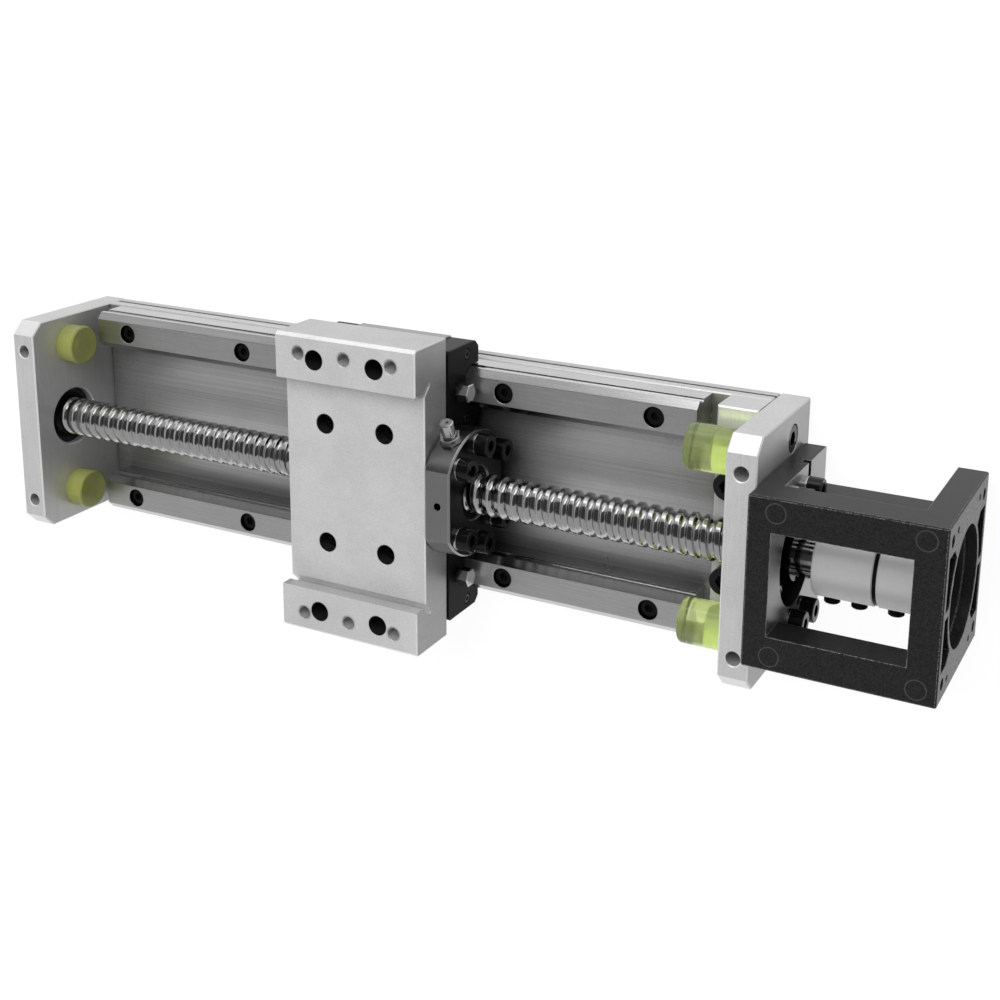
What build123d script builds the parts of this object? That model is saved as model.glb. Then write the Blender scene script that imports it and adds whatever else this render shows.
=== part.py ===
"""Ball screw slide table, open for its motor.

Frame: X runs along the travel and points to the motor end, Z points up out of the base
through the carriage, and the origin is the centre of the base plate's underside.
All sizes are in millimetres.
"""
import math
import os

from build123d import *

# Base plate
base_length = 301.0
base_width = 89.0
base_thickness = 10.0
groove_height = 1.6
groove_depth = 3.0
groove_level = 5.0
base_edge_break = 0.5
mounting_hole_drill = 5.0
mounting_hole_depth = 7.0
mounting_pitch_x = 120.0
mounting_pitch_y = 32.0

# End plates
plate_thickness = 10.8
plate_height = 56.0
plate_corner_chamfer = 5.2
plate_edge_break = 0.5
cover_hole_drill = 5.2
cover_hole_depth = 12.0
cover_hole_y = 32.4
thread_mouth_chamfer = 0.4

# Foot block between the base and the drive end plate
foot_length = 14.7
foot_height = 14.8
foot_edge_break = 0.6

# Screws that hold the end plates and the foot
foot_screw_thread = 6.0
foot_screw_y = 17.5
foot_screw_from_plate = 8.1
foot_screw_engagement = 8.0
drive_screw_thread = 6.0
drive_screw_from_bracket = 5.1
drive_screw_level = 8.5
drive_counterbore_depth = 6.2
drive_screw_engagement = 11.0
idle_screw_thread = 4.0
idle_screw_outer_y = 36.0
idle_screw_inner_y = 14.0
idle_counterbore_depth = 4.4
idle_screw_engagement = 10.0

# Height of the screw axis over the base plate's underside
axis_height = 34.8

# Profile rails
rail_width = 15.0
rail_height = 15.0
rail_from_idle_plate = 7.0
rail_from_foot = 7.3
rail_hole_from_end = 10.0
rail_spacing = 73.1
rail_land = 9.8
rail_hole_pitch = 60.0
rail_counterbore_depth = 5.3
rail_bolt_thread = 4.0
rail_bolt_engagement = 6.0
raceway_radius = 1.6
raceway_depth = 1.1
raceway_level = 9.6

# Rail blocks with their plastic end caps and seals
block_width = 34.0
block_overhang = 0.5
block_cap_length = 10.0
block_ground_gap = 4.3
block_assembly_height = 28.0
block_hole_pitch = 26.0
block_top_chamfer = 1.0
block_bottom_chamfer = 2.4
block_rail_clearance = 0.3
cap_inset = 0.5
seal_thickness = 1.0
cap_screw_thread = 2.0
cap_screw_spread = 25.0
cap_screw_level = 13.4
cap_screw_sink = 1.0
cap_screw_engagement = 4.0
block_nipple_level = 20.5
block_nipple_flats = 6.4
block_nipple_height = 6.8
block_nipple_neck = 2.2
block_nipple_thread = 3.0
nipple_thread_length = 5.0

# Carriage plate
carriage_x = 5.6
carriage_length = 60.4
carriage_width = 117.2
carriage_thickness = 15.6
carriage_edge_break = 0.4
strip_height = 6.4
recess_width = 82.4
strip_edge_chamfer = 1.2
relief_width = 2.2
relief_depth = 5.0
block_bolt_thread = 4.0
block_bolt_grip = 7.0
block_bolt_engagement = 5.0
load_hole_pitch_x = 20.0
load_hole_count = 3
load_hole_pitch_y = 102.8
load_hole_drill = 5.0
load_hole_depth = 12.0
boss_width = 37.2
boss_length = 40.0
boss_ground_gap = 5.6

# Ball nut
nut_block_gap = 0.3
nut_flange_diameter = 48.0
nut_flange_flats = 40.0
nut_flange_thickness = 10.0
nut_edge_break = 0.6
nut_body_diameter = 28.0
nut_length = 42.0
nut_body_clearance = 0.2
nut_bolt_circle = 38.0
nut_bolt_angle = 45.0
nut_bolt_thread = 5.0
nut_bolt_engagement = 8.0
nut_oil_hole = 3.0
nut_oil_hole_depth = 8.0
nut_wiper_thickness = 3.0
nut_wiper_diameter = 20.0
nut_wiper_sink = 0.8
nut_mouth_chamfer = 0.6
nut_nipple_angle = 24.0
nut_nipple_flats = 7.0
nut_nipple_height = 9.5
nut_nipple_thread = 4.0
nut_nipple_sink = 0.5

# Ball screw
screw_diameter = 15.6
screw_running_clearance = 0.3
shoulder_diameter = 14.5
journal_diameter = 12.0
journal_coupling_gap = 0.6
coupling_journal_diameter = 10.0
coupling_engagement = 16.0
thread_end_from_drive_plate = 5.5
screw_end_inset = 0.2
screw_end_chamfer = 0.5

# Bearings of both ends, 12 x 24 x 6
bearing_outside = 24.0
bearing_width = 6.0
bearing_ring_wall = 2.0
bearing_lip_width = 1.8
bearing_seal_thickness = 0.6
bearing_seal_recess = 0.2
bearing_seal_clearance = 0.3
idle_lip_thickness = 1.5
drive_lip_thickness = 0.8
bearing_cap_diameter = 35.0
bearing_cap_thickness = 3.2
cap_fixing_circle = 29.4
cap_fixing_thread = 3.0
cap_fixing_engagement = 6.0
lock_nut_diameter = 18.0
lock_nut_width = 6.5
lock_nut_slot_width = 3.0
lock_nut_slot_depth = 1.4
lock_nut_slot_count = 4
retaining_ring_width = 1.0
retaining_ring_diameter = 15.0
ring_groove_depth = 0.5

# Bumpers
bumper_diameter = 16.4
bumper_y = 32.1
bumper_idle_length = 8.0
bumper_drive_length = 20.4
bumper_edge_radius = 1.2
bumper_stud_thread = 5.0
bumper_stud_in_plate = 8.0
bumper_stud_in_bumper = 5.0

# Coupling
coupling_diameter = 24.0
coupling_from_drive_plate = 16.5
coupling_hub_length = 20.1
coupling_gap = 1.3
coupling_motor_bore = 8.0
coupling_relief_diameter = 11.0
coupling_edge_break = 0.4
coupling_screw_thread = 3.0
coupling_screw_inset = 4.7
coupling_screw_pitch = 9.2
coupling_screw_seat = 11.3
coupling_disc_diameter = 23.0
coupling_disc_bore = 10.0
tenon_width = 5.0
tenon_height = 2.5
tenon_length = 16.0
tenon_clearance = 0.1

# Motor bracket
bracket_size = 59.0
bracket_length = 63.2
bracket_plate_flange = 8.1
bracket_motor_flange = 10.0
bracket_wall = 12.8
bracket_window_height = 35.5
bracket_bore = 35.6
bracket_edge_break = 0.5
beam_thickness = 10.7
beam_height = 32.0
pilot_diameter = 40.4
pilot_depth = 4.0
cast_bore = 38.0
pilot_rim = 1.6
motor_hole_pitch = 47.14
motor_hole_drill = 4.2
small_hole_pitch_y = 49.6
small_hole_pitch_z = 32.6
small_hole_drill = 2.5
small_hole_depth = 6.0
pocket_depth = 7.0
pocket_wall = 2.6
pocket_width = 38.0
pocket_web = 2.4
bracket_screw_thread = 5.0
bracket_screw_pitch_y = 43.2
bracket_screw_pitch_z = 12.0
bracket_screw_engagement = 8.0
notch_width = 3.0
notch_depth = 2.5
notch_length = 8.0
notch_below_axis = 10.2

# Fasteners in general
head_ratio = 1.5
head_allowance = 1.0
key_ratio = 0.8
passage_ratio = 1.1
spring_washer_thickness = 1.2
spring_washer_split = 0.5
screw_edge_break = 0.3
head_clearance = 0.25
thread_run_out = 1.0
nipple_hexagon_share = 0.35
nipple_groove_share = 0.1
nipple_neck_ratio = 0.6
nipple_head_ratio = 0.74
nipple_ball_hole = 1.6
nipple_ball_hole_depth = 0.6
nipple_edge_break = 0.3
plug_neck_ratio = 0.75

# Places that follow from the sizes above
idle_face_x = -base_length / 2
drive_face_x = base_length / 2
idle_outer_x = idle_face_x - plate_thickness
bracket_start_x = drive_face_x + plate_thickness
bracket_inner_start = bracket_start_x + bracket_plate_flange
bracket_end_x = bracket_start_x + bracket_length
bracket_inner_end = bracket_end_x - bracket_motor_flange
foot_x = drive_face_x - foot_length
foot_top = base_thickness + foot_height
foot_screw_x = drive_face_x - foot_screw_from_plate
drive_screw_y = bracket_size / 2 + drive_screw_from_bracket
drive_screw_z = base_thickness + drive_screw_level
rail_y = rail_spacing / 2
rail_start_x = idle_face_x + rail_from_idle_plate
rail_length = foot_x - rail_from_foot - rail_start_x
rail_centre_x = rail_start_x + rail_length / 2
rail_hole_count = int((rail_length - 2 * rail_hole_from_end) / rail_hole_pitch) + 1
rail_top = base_thickness + rail_height
block_bottom = base_thickness + block_ground_gap
block_top = base_thickness + block_assembly_height
block_length = carriage_length + 2 * block_overhang
block_body_length = block_length - 2 * (block_cap_length + seal_thickness)
block_body_start = carriage_x - block_body_length / 2
block_body_end = carriage_x + block_body_length / 2
block_end_x = block_body_end + block_cap_length + seal_thickness
block_bolt_seat_z = block_top + block_bolt_grip
recess_floor = block_top + carriage_thickness
strip_top = recess_floor + strip_height
carriage_start_x = carriage_x - carriage_length / 2
nut_seat_x = block_end_x + nut_block_gap
nut_front_x = nut_seat_x + nut_flange_thickness
nut_back_x = nut_front_x - nut_length
nut_nipple_x = (nut_seat_x + nut_front_x) / 2
idle_bearing_x = idle_face_x - plate_thickness + idle_lip_thickness
drive_bearing_x = drive_face_x + drive_lip_thickness
drive_bearing_end = drive_bearing_x + 2 * bearing_width
bearing_lip_diameter = bearing_outside - 2 * bearing_lip_width
coupling_start = bracket_start_x + coupling_from_drive_plate
coupling_middle = coupling_start + coupling_hub_length
coupling_motor_start = coupling_middle + coupling_gap
sides = {"left": 1, "right": -1}
along_x = (0, 90, 0)
against_x = (0, -90, 0)
towards_right = (90, 0, 0)

os.makedirs("parts", exist_ok=True)


def write(part, name):
    """Label a finished piece and write it as its own file."""
    part.label = name
    export_step(part, f"parts/{name}.step")


def x_plane(x):
    """Plane across the travel at x, with its own x to the left side and its own y up."""
    return Plane(origin=(x, 0, 0), x_dir=(0, 1, 0), z_dir=(1, 0, 0))


def axis_plane(x):
    """Plane across the travel at x, centred on the screw axis."""
    return Plane(origin=(x, 0, axis_height), x_dir=(0, 1, 0), z_dir=(1, 0, 0))


def head_diameter(thread):
    """Diameter of a socket screw's head, as the standard series grows with the thread."""
    return head_ratio * thread + head_allowance


def hexagon_radius(flats):
    """Radius of a hexagon's corners from its size across flats."""
    return flats / 2 / math.cos(math.radians(30))


def counterbore_radius(thread):
    """Radius of the counterbore that a socket screw's head sits in."""
    return head_diameter(thread) / 2 + head_clearance


def passage_radius(thread):
    """Radius of the hole that a screw passes through without gripping."""
    return passage_ratio * thread / 2


def socket_screw(thread, length):
    """Socket head cap screw, seat at z = 0, head above it and shank below."""
    with BuildPart() as screw:
        with BuildSketch():
            Circle(head_diameter(thread) / 2)
        extrude(amount=thread)
        chamfer(screw.faces().sort_by(Axis.Z)[-1].edges(), length=screw_edge_break)
        with BuildSketch(Plane.XY.offset(thread)):
            RegularPolygon(key_ratio * thread / 2, 6, major_radius=False)
        extrude(amount=-thread / 2, mode=Mode.SUBTRACT)
        with BuildSketch():
            Circle(thread / 2)
        extrude(amount=-length)
    return screw.part


def spring_washer(thread):
    """Split spring washer under a socket screw's head, lying on z = 0."""
    outside = head_diameter(thread)
    with BuildPart() as washer:
        with BuildSketch():
            Circle(outside / 2)
            Circle(passage_radius(thread), mode=Mode.SUBTRACT)
            with Locations((outside / 2, 0)):
                Rectangle(outside / 2, spring_washer_split, mode=Mode.SUBTRACT)
        extrude(amount=spring_washer_thickness)
    return washer.part


def grease_nipple(flats, height, thread):
    """Grease nipple, seat at z = 0: hexagon, groove and round head above, thread below."""
    head_height = (1 - nipple_hexagon_share - nipple_groove_share) * height
    with BuildPart() as nipple:
        with BuildSketch():
            RegularPolygon(flats / 2, 6, major_radius=False)
        extrude(amount=nipple_hexagon_share * height)
        with BuildSketch():
            Circle(nipple_neck_ratio * flats / 2)
        extrude(amount=height)
        with BuildSketch(Plane.XY.offset(height)):
            Circle(nipple_head_ratio * flats / 2)
        extrude(amount=-head_height)
        chamfer(nipple.faces().sort_by(Axis.Z)[-1].edges(), length=nipple_edge_break)
        with BuildSketch(Plane.XY.offset(height)):
            Circle(nipple_ball_hole / 2)
        extrude(amount=-nipple_ball_hole_depth, mode=Mode.SUBTRACT)
        with BuildSketch():
            Circle(thread / 2)
        extrude(amount=-nipple_thread_length)
    return nipple.part


def plug_neck_radius(flats):
    """Radius of the round neck under a grease plug's hexagon."""
    return plug_neck_ratio * flats / 2


def grease_plug(flats, height, neck, thread):
    """Grease plug, seat at z = 0: round neck and hexagon above, thread below."""
    with BuildPart() as plug:
        with BuildSketch():
            Circle(plug_neck_radius(flats))
        extrude(amount=neck)
        with BuildSketch(Plane.XY.offset(neck)):
            RegularPolygon(flats / 2, 6, major_radius=False)
        extrude(amount=height - neck)
        chamfer(plug.faces().sort_by(Axis.Z)[-1].edges(), length=nipple_edge_break)
        with BuildSketch():
            Circle(thread / 2)
        extrude(amount=-nipple_thread_length)
    return plug.part


def ring(inside, outside, start_x, width):
    """Plain ring round the screw axis, from start_x on towards the motor end."""
    with BuildPart() as piece:
        with BuildSketch(axis_plane(start_x)):
            Circle(outside / 2)
            Circle(inside / 2, mode=Mode.SUBTRACT)
        extrude(amount=width)
    return piece.part


def copies(piece, places, turned=(0, 0, 0)):
    """One part with the same piece at each place."""
    with BuildPart() as group:
        with Locations(*places):
            add(piece, rotation=turned)
    return group.part


# Where the repeated fasteners go
rail_holes = []
for side in sides.values():
    for number in range(rail_hole_count):
        offset_x = (number - (rail_hole_count - 1) / 2) * rail_hole_pitch
        rail_holes.append((rail_centre_x + offset_x, side * rail_y))
block_holes = []
for side in sides.values():
    for step_x in (-block_hole_pitch / 2, block_hole_pitch / 2):
        for step_y in (-block_hole_pitch / 2, block_hole_pitch / 2):
            block_holes.append((carriage_x + step_x, side * rail_y + step_y))
foot_screw_places = [(foot_screw_x, side * foot_screw_y) for side in sides.values()]
drive_screw_places = [(side * drive_screw_y, drive_screw_z) for side in sides.values()]
idle_screw_places = []
for y in (idle_screw_outer_y, idle_screw_inner_y):
    idle_screw_places.append((y, base_thickness / 2))
    idle_screw_places.append((-y, base_thickness / 2))
bumper_places = [(side * bumper_y, axis_height) for side in sides.values()]
side_bolt_places = [(side * nut_bolt_circle / 2, 0) for side in sides.values()]
boss_bolt_places = []
for turn in (nut_bolt_angle, 180 - nut_bolt_angle, 180 + nut_bolt_angle, -nut_bolt_angle):
    bolt_y = nut_bolt_circle / 2 * math.cos(math.radians(turn))
    bolt_z = nut_bolt_circle / 2 * math.sin(math.radians(turn))
    boss_bolt_places.append((bolt_y, bolt_z))
nut_bolt_places = boss_bolt_places + side_bolt_places


# Base plate with a clamp groove along each side and tapped holes in its underside
with BuildPart() as base_plate:
    with BuildSketch():
        Rectangle(base_length, base_width)
    extrude(amount=base_thickness)
    chamfer(base_plate.edges(), length=base_edge_break)
    with BuildSketch(x_plane(idle_face_x)):
        with Locations((-base_width / 2, groove_level), (base_width / 2, groove_level)):
            Rectangle(2 * groove_depth, groove_height)
    extrude(amount=base_length, mode=Mode.SUBTRACT)
    with BuildSketch():
        with GridLocations(mounting_pitch_x, mounting_pitch_y, 3, 2):
            Circle(mounting_hole_drill / 2)
    extrude(amount=mounting_hole_depth, mode=Mode.SUBTRACT)
    with BuildSketch(Plane.XY.offset(base_thickness)):
        with Locations(*rail_holes):
            Circle(rail_bolt_thread / 2)
    extrude(amount=-rail_bolt_engagement - thread_run_out, mode=Mode.SUBTRACT)
    with BuildSketch(Plane.XY.offset(base_thickness)):
        with Locations(*foot_screw_places):
            Circle(foot_screw_thread / 2)
    extrude(amount=-foot_screw_engagement - thread_run_out, mode=Mode.SUBTRACT)
    with BuildSketch(x_plane(idle_face_x)):
        with Locations(*idle_screw_places):
            Circle(idle_screw_thread / 2)
    extrude(amount=idle_screw_engagement + thread_run_out, mode=Mode.SUBTRACT)
write(base_plate.part, "base_plate")


def end_plate_blank(start_x):
    """End plate before its bores: cut upper corners and two tapped holes for a cover."""
    with BuildPart() as blank:
        with BuildSketch(x_plane(start_x)) as outline:
            with Locations((0, plate_height / 2)):
                Rectangle(base_width, plate_height)
            chamfer(outline.vertices().group_by(Axis.Y)[-1], length=plate_corner_chamfer)
        extrude(amount=plate_thickness)
        chamfer(blank.faces().filter_by(Axis.X).edges(), length=plate_edge_break)
        with BuildSketch(Plane.XY.offset(plate_height)):
            with Locations((start_x + plate_thickness / 2, 0)):
                with GridLocations(0, 2 * cover_hole_y, 1, 2):
                    Circle(cover_hole_drill / 2)
        extrude(amount=-cover_hole_depth, mode=Mode.SUBTRACT)
        mouths = blank.faces().sort_by(Axis.Z)[-1].edges().filter_by(GeomType.CIRCLE)
        chamfer(mouths, length=thread_mouth_chamfer)
    return blank.part


# Idle end plate: bearing seat open to the inside, lip on the outside
idle_blank = end_plate_blank(idle_outer_x)
with BuildPart() as idle_end_plate:
    add(idle_blank)
    with BuildSketch(axis_plane(idle_face_x)):
        Circle(bearing_outside / 2)
    extrude(amount=-(idle_face_x - idle_bearing_x), mode=Mode.SUBTRACT)
    seat_mouth = idle_end_plate.faces().sort_by(Axis.X)[-1].edges().filter_by(GeomType.CIRCLE)
    chamfer(seat_mouth, length=plate_edge_break)
    with BuildSketch(axis_plane(idle_outer_x)):
        Circle(bearing_lip_diameter / 2)
    extrude(amount=idle_lip_thickness, mode=Mode.SUBTRACT)
    with BuildSketch(x_plane(idle_face_x)):
        with Locations(*bumper_places):
            Circle(bumper_stud_thread / 2)
    extrude(amount=-bumper_stud_in_plate - thread_run_out, mode=Mode.SUBTRACT)
    with BuildSketch(x_plane(idle_outer_x)):
        with Locations(*idle_screw_places):
            Circle(passage_radius(idle_screw_thread))
    extrude(amount=plate_thickness, mode=Mode.SUBTRACT)
    with BuildSketch(x_plane(idle_outer_x)):
        with Locations(*idle_screw_places):
            Circle(counterbore_radius(idle_screw_thread))
    extrude(amount=idle_counterbore_depth, mode=Mode.SUBTRACT)
write(idle_end_plate.part, "idle_end_plate")


# Drive end plate: seat for the bearing pair, open to the motor side
cap_fixing_places = []
for turn in (45, 135, 225, 315):
    fixing_y = cap_fixing_circle / 2 * math.cos(math.radians(turn))
    fixing_z = cap_fixing_circle / 2 * math.sin(math.radians(turn))
    cap_fixing_places.append((fixing_y, fixing_z))
drive_blank = end_plate_blank(drive_face_x)
with BuildPart() as drive_end_plate:
    add(drive_blank)
    with BuildSketch(axis_plane(bracket_start_x)):
        Circle(bearing_outside / 2)
    extrude(amount=-(bracket_start_x - drive_bearing_x), mode=Mode.SUBTRACT)
    with BuildSketch(axis_plane(drive_face_x)):
        Circle(bearing_lip_diameter / 2)
    extrude(amount=drive_lip_thickness, mode=Mode.SUBTRACT)
    with BuildSketch(axis_plane(bracket_start_x)):
        with Locations(*cap_fixing_places):
            Circle(cap_fixing_thread / 2)
    extrude(amount=-cap_fixing_engagement - thread_run_out, mode=Mode.SUBTRACT)
    with BuildSketch(axis_plane(bracket_start_x)):
        with GridLocations(bracket_screw_pitch_y, bracket_screw_pitch_z, 2, 2):
            Circle(bracket_screw_thread / 2)
    extrude(amount=-bracket_screw_engagement - thread_run_out, mode=Mode.SUBTRACT)
    with BuildSketch(x_plane(drive_face_x)):
        with Locations(*bumper_places):
            Circle(bumper_stud_thread / 2)
    extrude(amount=bumper_stud_in_plate + thread_run_out, mode=Mode.SUBTRACT)
    with BuildSketch(x_plane(drive_face_x)):
        with Locations(*drive_screw_places):
            Circle(passage_radius(drive_screw_thread))
    extrude(amount=plate_thickness, mode=Mode.SUBTRACT)
    with BuildSketch(x_plane(bracket_start_x)):
        with Locations(*drive_screw_places):
            Circle(counterbore_radius(drive_screw_thread))
    extrude(amount=-drive_counterbore_depth, mode=Mode.SUBTRACT)
write(drive_end_plate.part, "drive_end_plate")


# Foot block: carries the drive end plate on the base
with BuildPart() as foot_block:
    with BuildSketch(Plane.XY.offset(base_thickness)):
        with Locations(((foot_x + drive_face_x) / 2, 0)):
            Rectangle(foot_length, base_width)
    extrude(amount=foot_height)
    chamfer(foot_block.faces().sort_by(Axis.Z)[-1].edges(), length=foot_edge_break)
    with BuildSketch(Plane.XY.offset(base_thickness)):
        with Locations(*foot_screw_places):
            Circle(passage_radius(foot_screw_thread))
    extrude(amount=foot_height, mode=Mode.SUBTRACT)
    with BuildSketch(x_plane(drive_face_x)):
        with Locations(*drive_screw_places):
            Circle(drive_screw_thread / 2)
    extrude(amount=-drive_screw_engagement - thread_run_out, mode=Mode.SUBTRACT)
write(foot_block.part, "foot_block")


# Screws of the foot and of the end plates
foot_screw = socket_screw(foot_screw_thread, foot_height + foot_screw_engagement)
foot_screw_seats = [(x, y, foot_top) for x, y in foot_screw_places]
write(copies(foot_screw, foot_screw_seats), "foot_screws")

drive_grip = plate_thickness - drive_counterbore_depth
drive_screw = socket_screw(drive_screw_thread, drive_grip + drive_screw_engagement)
drive_seats = [(drive_face_x + drive_grip, y, z) for y, z in drive_screw_places]
write(copies(drive_screw, drive_seats, along_x), "drive_plate_screws")

idle_grip = plate_thickness - idle_counterbore_depth
idle_screw = socket_screw(idle_screw_thread, idle_grip + idle_screw_engagement)
idle_seats = [(idle_face_x - idle_grip, y, z) for y, z in idle_screw_places]
write(copies(idle_screw, idle_seats, against_x), "idle_plate_screws")


def rail_section(growth):
    """Rail across its length, standing on y = 0: flat sides, 45 degree shoulders, top land."""
    half_width = rail_width / 2 + growth
    half_land = rail_land / 2 + growth * math.tan(math.radians(45 / 2))
    top = rail_height + growth
    shoulder = top - (half_width - half_land)
    with BuildSketch() as section:
        with BuildLine():
            Polyline((-half_width, 0), (half_width, 0), (half_width, shoulder), (half_land, top),
                     (-half_land, top), (-half_width, shoulder), close=True)
        make_face()
    return section.sketch


# Profile rails: ground bars with a round raceway in each side and sunk bolts
rail_profile = rail_section(0)
for name, side in sides.items():
    with BuildPart() as rail:
        with BuildSketch(x_plane(rail_start_x)):
            with Locations((side * rail_y, base_thickness)):
                add(rail_profile)
            groove_offset = rail_width / 2 + raceway_radius - raceway_depth
            with Locations((side * rail_y - groove_offset, base_thickness + raceway_level),
                           (side * rail_y + groove_offset, base_thickness + raceway_level)):
                Circle(raceway_radius, mode=Mode.SUBTRACT)
        extrude(amount=rail_length)
        with Locations(*[(x, y, rail_top) for x, y in rail_holes if y * side > 0]):
            CounterBoreHole(passage_radius(rail_bolt_thread), counterbore_radius(rail_bolt_thread),
                            rail_counterbore_depth)
    write(rail.part, f"rail_{name}")

rail_grip = rail_height - rail_counterbore_depth
rail_bolt = socket_screw(rail_bolt_thread, rail_grip + rail_bolt_engagement)
rail_seats = [(x, y, rail_top - rail_counterbore_depth) for x, y in rail_holes]
write(copies(rail_bolt, rail_seats), "rail_bolts")


# Bumpers: soft cylinders on both end plates, held by studs
bumper_ends = {"idle": (idle_face_x, bumper_idle_length), "drive": (drive_face_x, -bumper_drive_length)}
for end, (seat_x, length) in bumper_ends.items():
    for name, side in sides.items():
        with BuildPart() as bumper:
            with BuildSketch(x_plane(seat_x)):
                with Locations((side * bumper_y, axis_height)):
                    Circle(bumper_diameter / 2)
            extrude(amount=length)
            free_end = bumper.faces().sort_by(Axis.X)[-1 if length > 0 else 0]
            fillet(free_end.edges(), radius=bumper_edge_radius)
            with BuildSketch(x_plane(seat_x)):
                with Locations((side * bumper_y, axis_height)):
                    Circle(bumper_stud_thread / 2)
            extrude(amount=math.copysign(bumper_stud_in_bumper, length), mode=Mode.SUBTRACT)
        write(bumper.part, f"bumper_{end}_{name}")

with BuildPart() as bumper_studs:
    with BuildSketch(x_plane(idle_face_x - bumper_stud_in_plate)):
        with Locations(*bumper_places):
            Circle(bumper_stud_thread / 2)
    extrude(amount=bumper_stud_in_plate + bumper_stud_in_bumper)
    with BuildSketch(x_plane(drive_face_x + bumper_stud_in_plate)):
        with Locations(*bumper_places):
            Circle(bumper_stud_thread / 2)
    extrude(amount=-bumper_stud_in_plate - bumper_stud_in_bumper)
write(bumper_studs.part, "bumper_studs")


# Ball bearings: one at the idle end, a pair in the drive end plate, each sealed on both faces
bearings = {
    "idle_bearing": idle_bearing_x,
    "drive_bearing_inside": drive_bearing_x,
    "drive_bearing_outside": drive_bearing_x + bearing_width,
}
outer_ring_bore = bearing_outside - 2 * bearing_ring_wall
inner_ring_outside = journal_diameter + 2 * bearing_ring_wall
seal_places = []
for name, start_x in bearings.items():
    write(ring(outer_ring_bore, bearing_outside, start_x, bearing_width), f"{name}_outer_ring")
    write(ring(journal_diameter, inner_ring_outside, start_x, bearing_width), f"{name}_inner_ring")
    seal_places.append(start_x + bearing_seal_recess)
    seal_places.append(start_x + bearing_width - bearing_seal_recess - bearing_seal_thickness)
with BuildPart() as bearing_seals:
    for seal_x in seal_places:
        with BuildSketch(axis_plane(seal_x)):
            Circle(outer_ring_bore / 2)
            Circle(inner_ring_outside / 2 + bearing_seal_clearance, mode=Mode.SUBTRACT)
        extrude(amount=bearing_seal_thickness)
write(bearing_seals.part, "bearing_seals")


# Bearing cap: holds the outer rings of the pair in the drive end plate
bearing_cap_end = bracket_start_x + bearing_cap_thickness
with BuildPart() as bearing_cap:
    with BuildSketch(axis_plane(bracket_start_x)):
        Circle(bearing_cap_diameter / 2)
        Circle(bearing_lip_diameter / 2, mode=Mode.SUBTRACT)
    extrude(amount=bearing_cap_thickness)
    with BuildSketch(axis_plane(bracket_start_x)):
        Circle(bearing_outside / 2)
    extrude(amount=drive_bearing_end - bracket_start_x, mode=Mode.SUBTRACT)
    with BuildSketch(axis_plane(bracket_start_x)):
        with Locations(*cap_fixing_places):
            Circle(passage_radius(cap_fixing_thread))
    extrude(amount=bearing_cap_thickness, mode=Mode.SUBTRACT)
write(bearing_cap.part, "bearing_cap")

cap_fixing = socket_screw(cap_fixing_thread, bearing_cap_thickness + cap_fixing_engagement)
cap_fixing_seats = [(bearing_cap_end, y, axis_height + z) for y, z in cap_fixing_places]
write(copies(cap_fixing, cap_fixing_seats, along_x), "bearing_cap_screws")


# Ball screw: threaded shaft with journals, its ball thread left plain at the outside diameter
screw_start_x = idle_outer_x + screw_end_inset
idle_shoulder_x = idle_bearing_x + bearing_width
thread_end_x = drive_face_x - thread_end_from_drive_plate
journal_end_x = coupling_start - journal_coupling_gap
screw_end_x = coupling_start + coupling_engagement
screw_steps = [
    (screw_start_x, idle_shoulder_x, journal_diameter),
    (idle_shoulder_x, thread_end_x, screw_diameter),
    (thread_end_x, drive_bearing_x, shoulder_diameter),
    (drive_bearing_x, journal_end_x, journal_diameter),
    (journal_end_x, screw_end_x, coupling_journal_diameter),
]
with BuildPart() as ball_screw:
    for step_start, step_end, diameter in screw_steps:
        with BuildSketch(axis_plane(step_start)):
            Circle(diameter / 2)
        extrude(amount=step_end - step_start)
    chamfer(ball_screw.faces().sort_by(Axis.X)[0].edges(), length=screw_end_chamfer)
    chamfer(ball_screw.faces().sort_by(Axis.X)[-1].edges(), length=screw_end_chamfer)
    with BuildSketch(axis_plane(idle_bearing_x)):
        Circle(journal_diameter / 2)
        Circle(journal_diameter / 2 - ring_groove_depth, mode=Mode.SUBTRACT)
    extrude(amount=-retaining_ring_width, mode=Mode.SUBTRACT)
write(ball_screw.part, "ball_screw")

ring_bore = journal_diameter - 2 * ring_groove_depth
ring_x = idle_bearing_x - retaining_ring_width
write(ring(ring_bore, retaining_ring_diameter, ring_x, retaining_ring_width), "retaining_ring")


# Lock nut: clamps the inner rings of the pair, with slots for a hook spanner
with BuildPart() as lock_nut:
    with BuildSketch(axis_plane(drive_bearing_end)):
        Circle(lock_nut_diameter / 2)
        Circle(journal_diameter / 2, mode=Mode.SUBTRACT)
        with PolarLocations(lock_nut_diameter / 2, lock_nut_slot_count):
            Rectangle(2 * lock_nut_slot_depth, lock_nut_slot_width, mode=Mode.SUBTRACT)
    extrude(amount=lock_nut_width)
write(lock_nut.part, "lock_nut")


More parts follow.
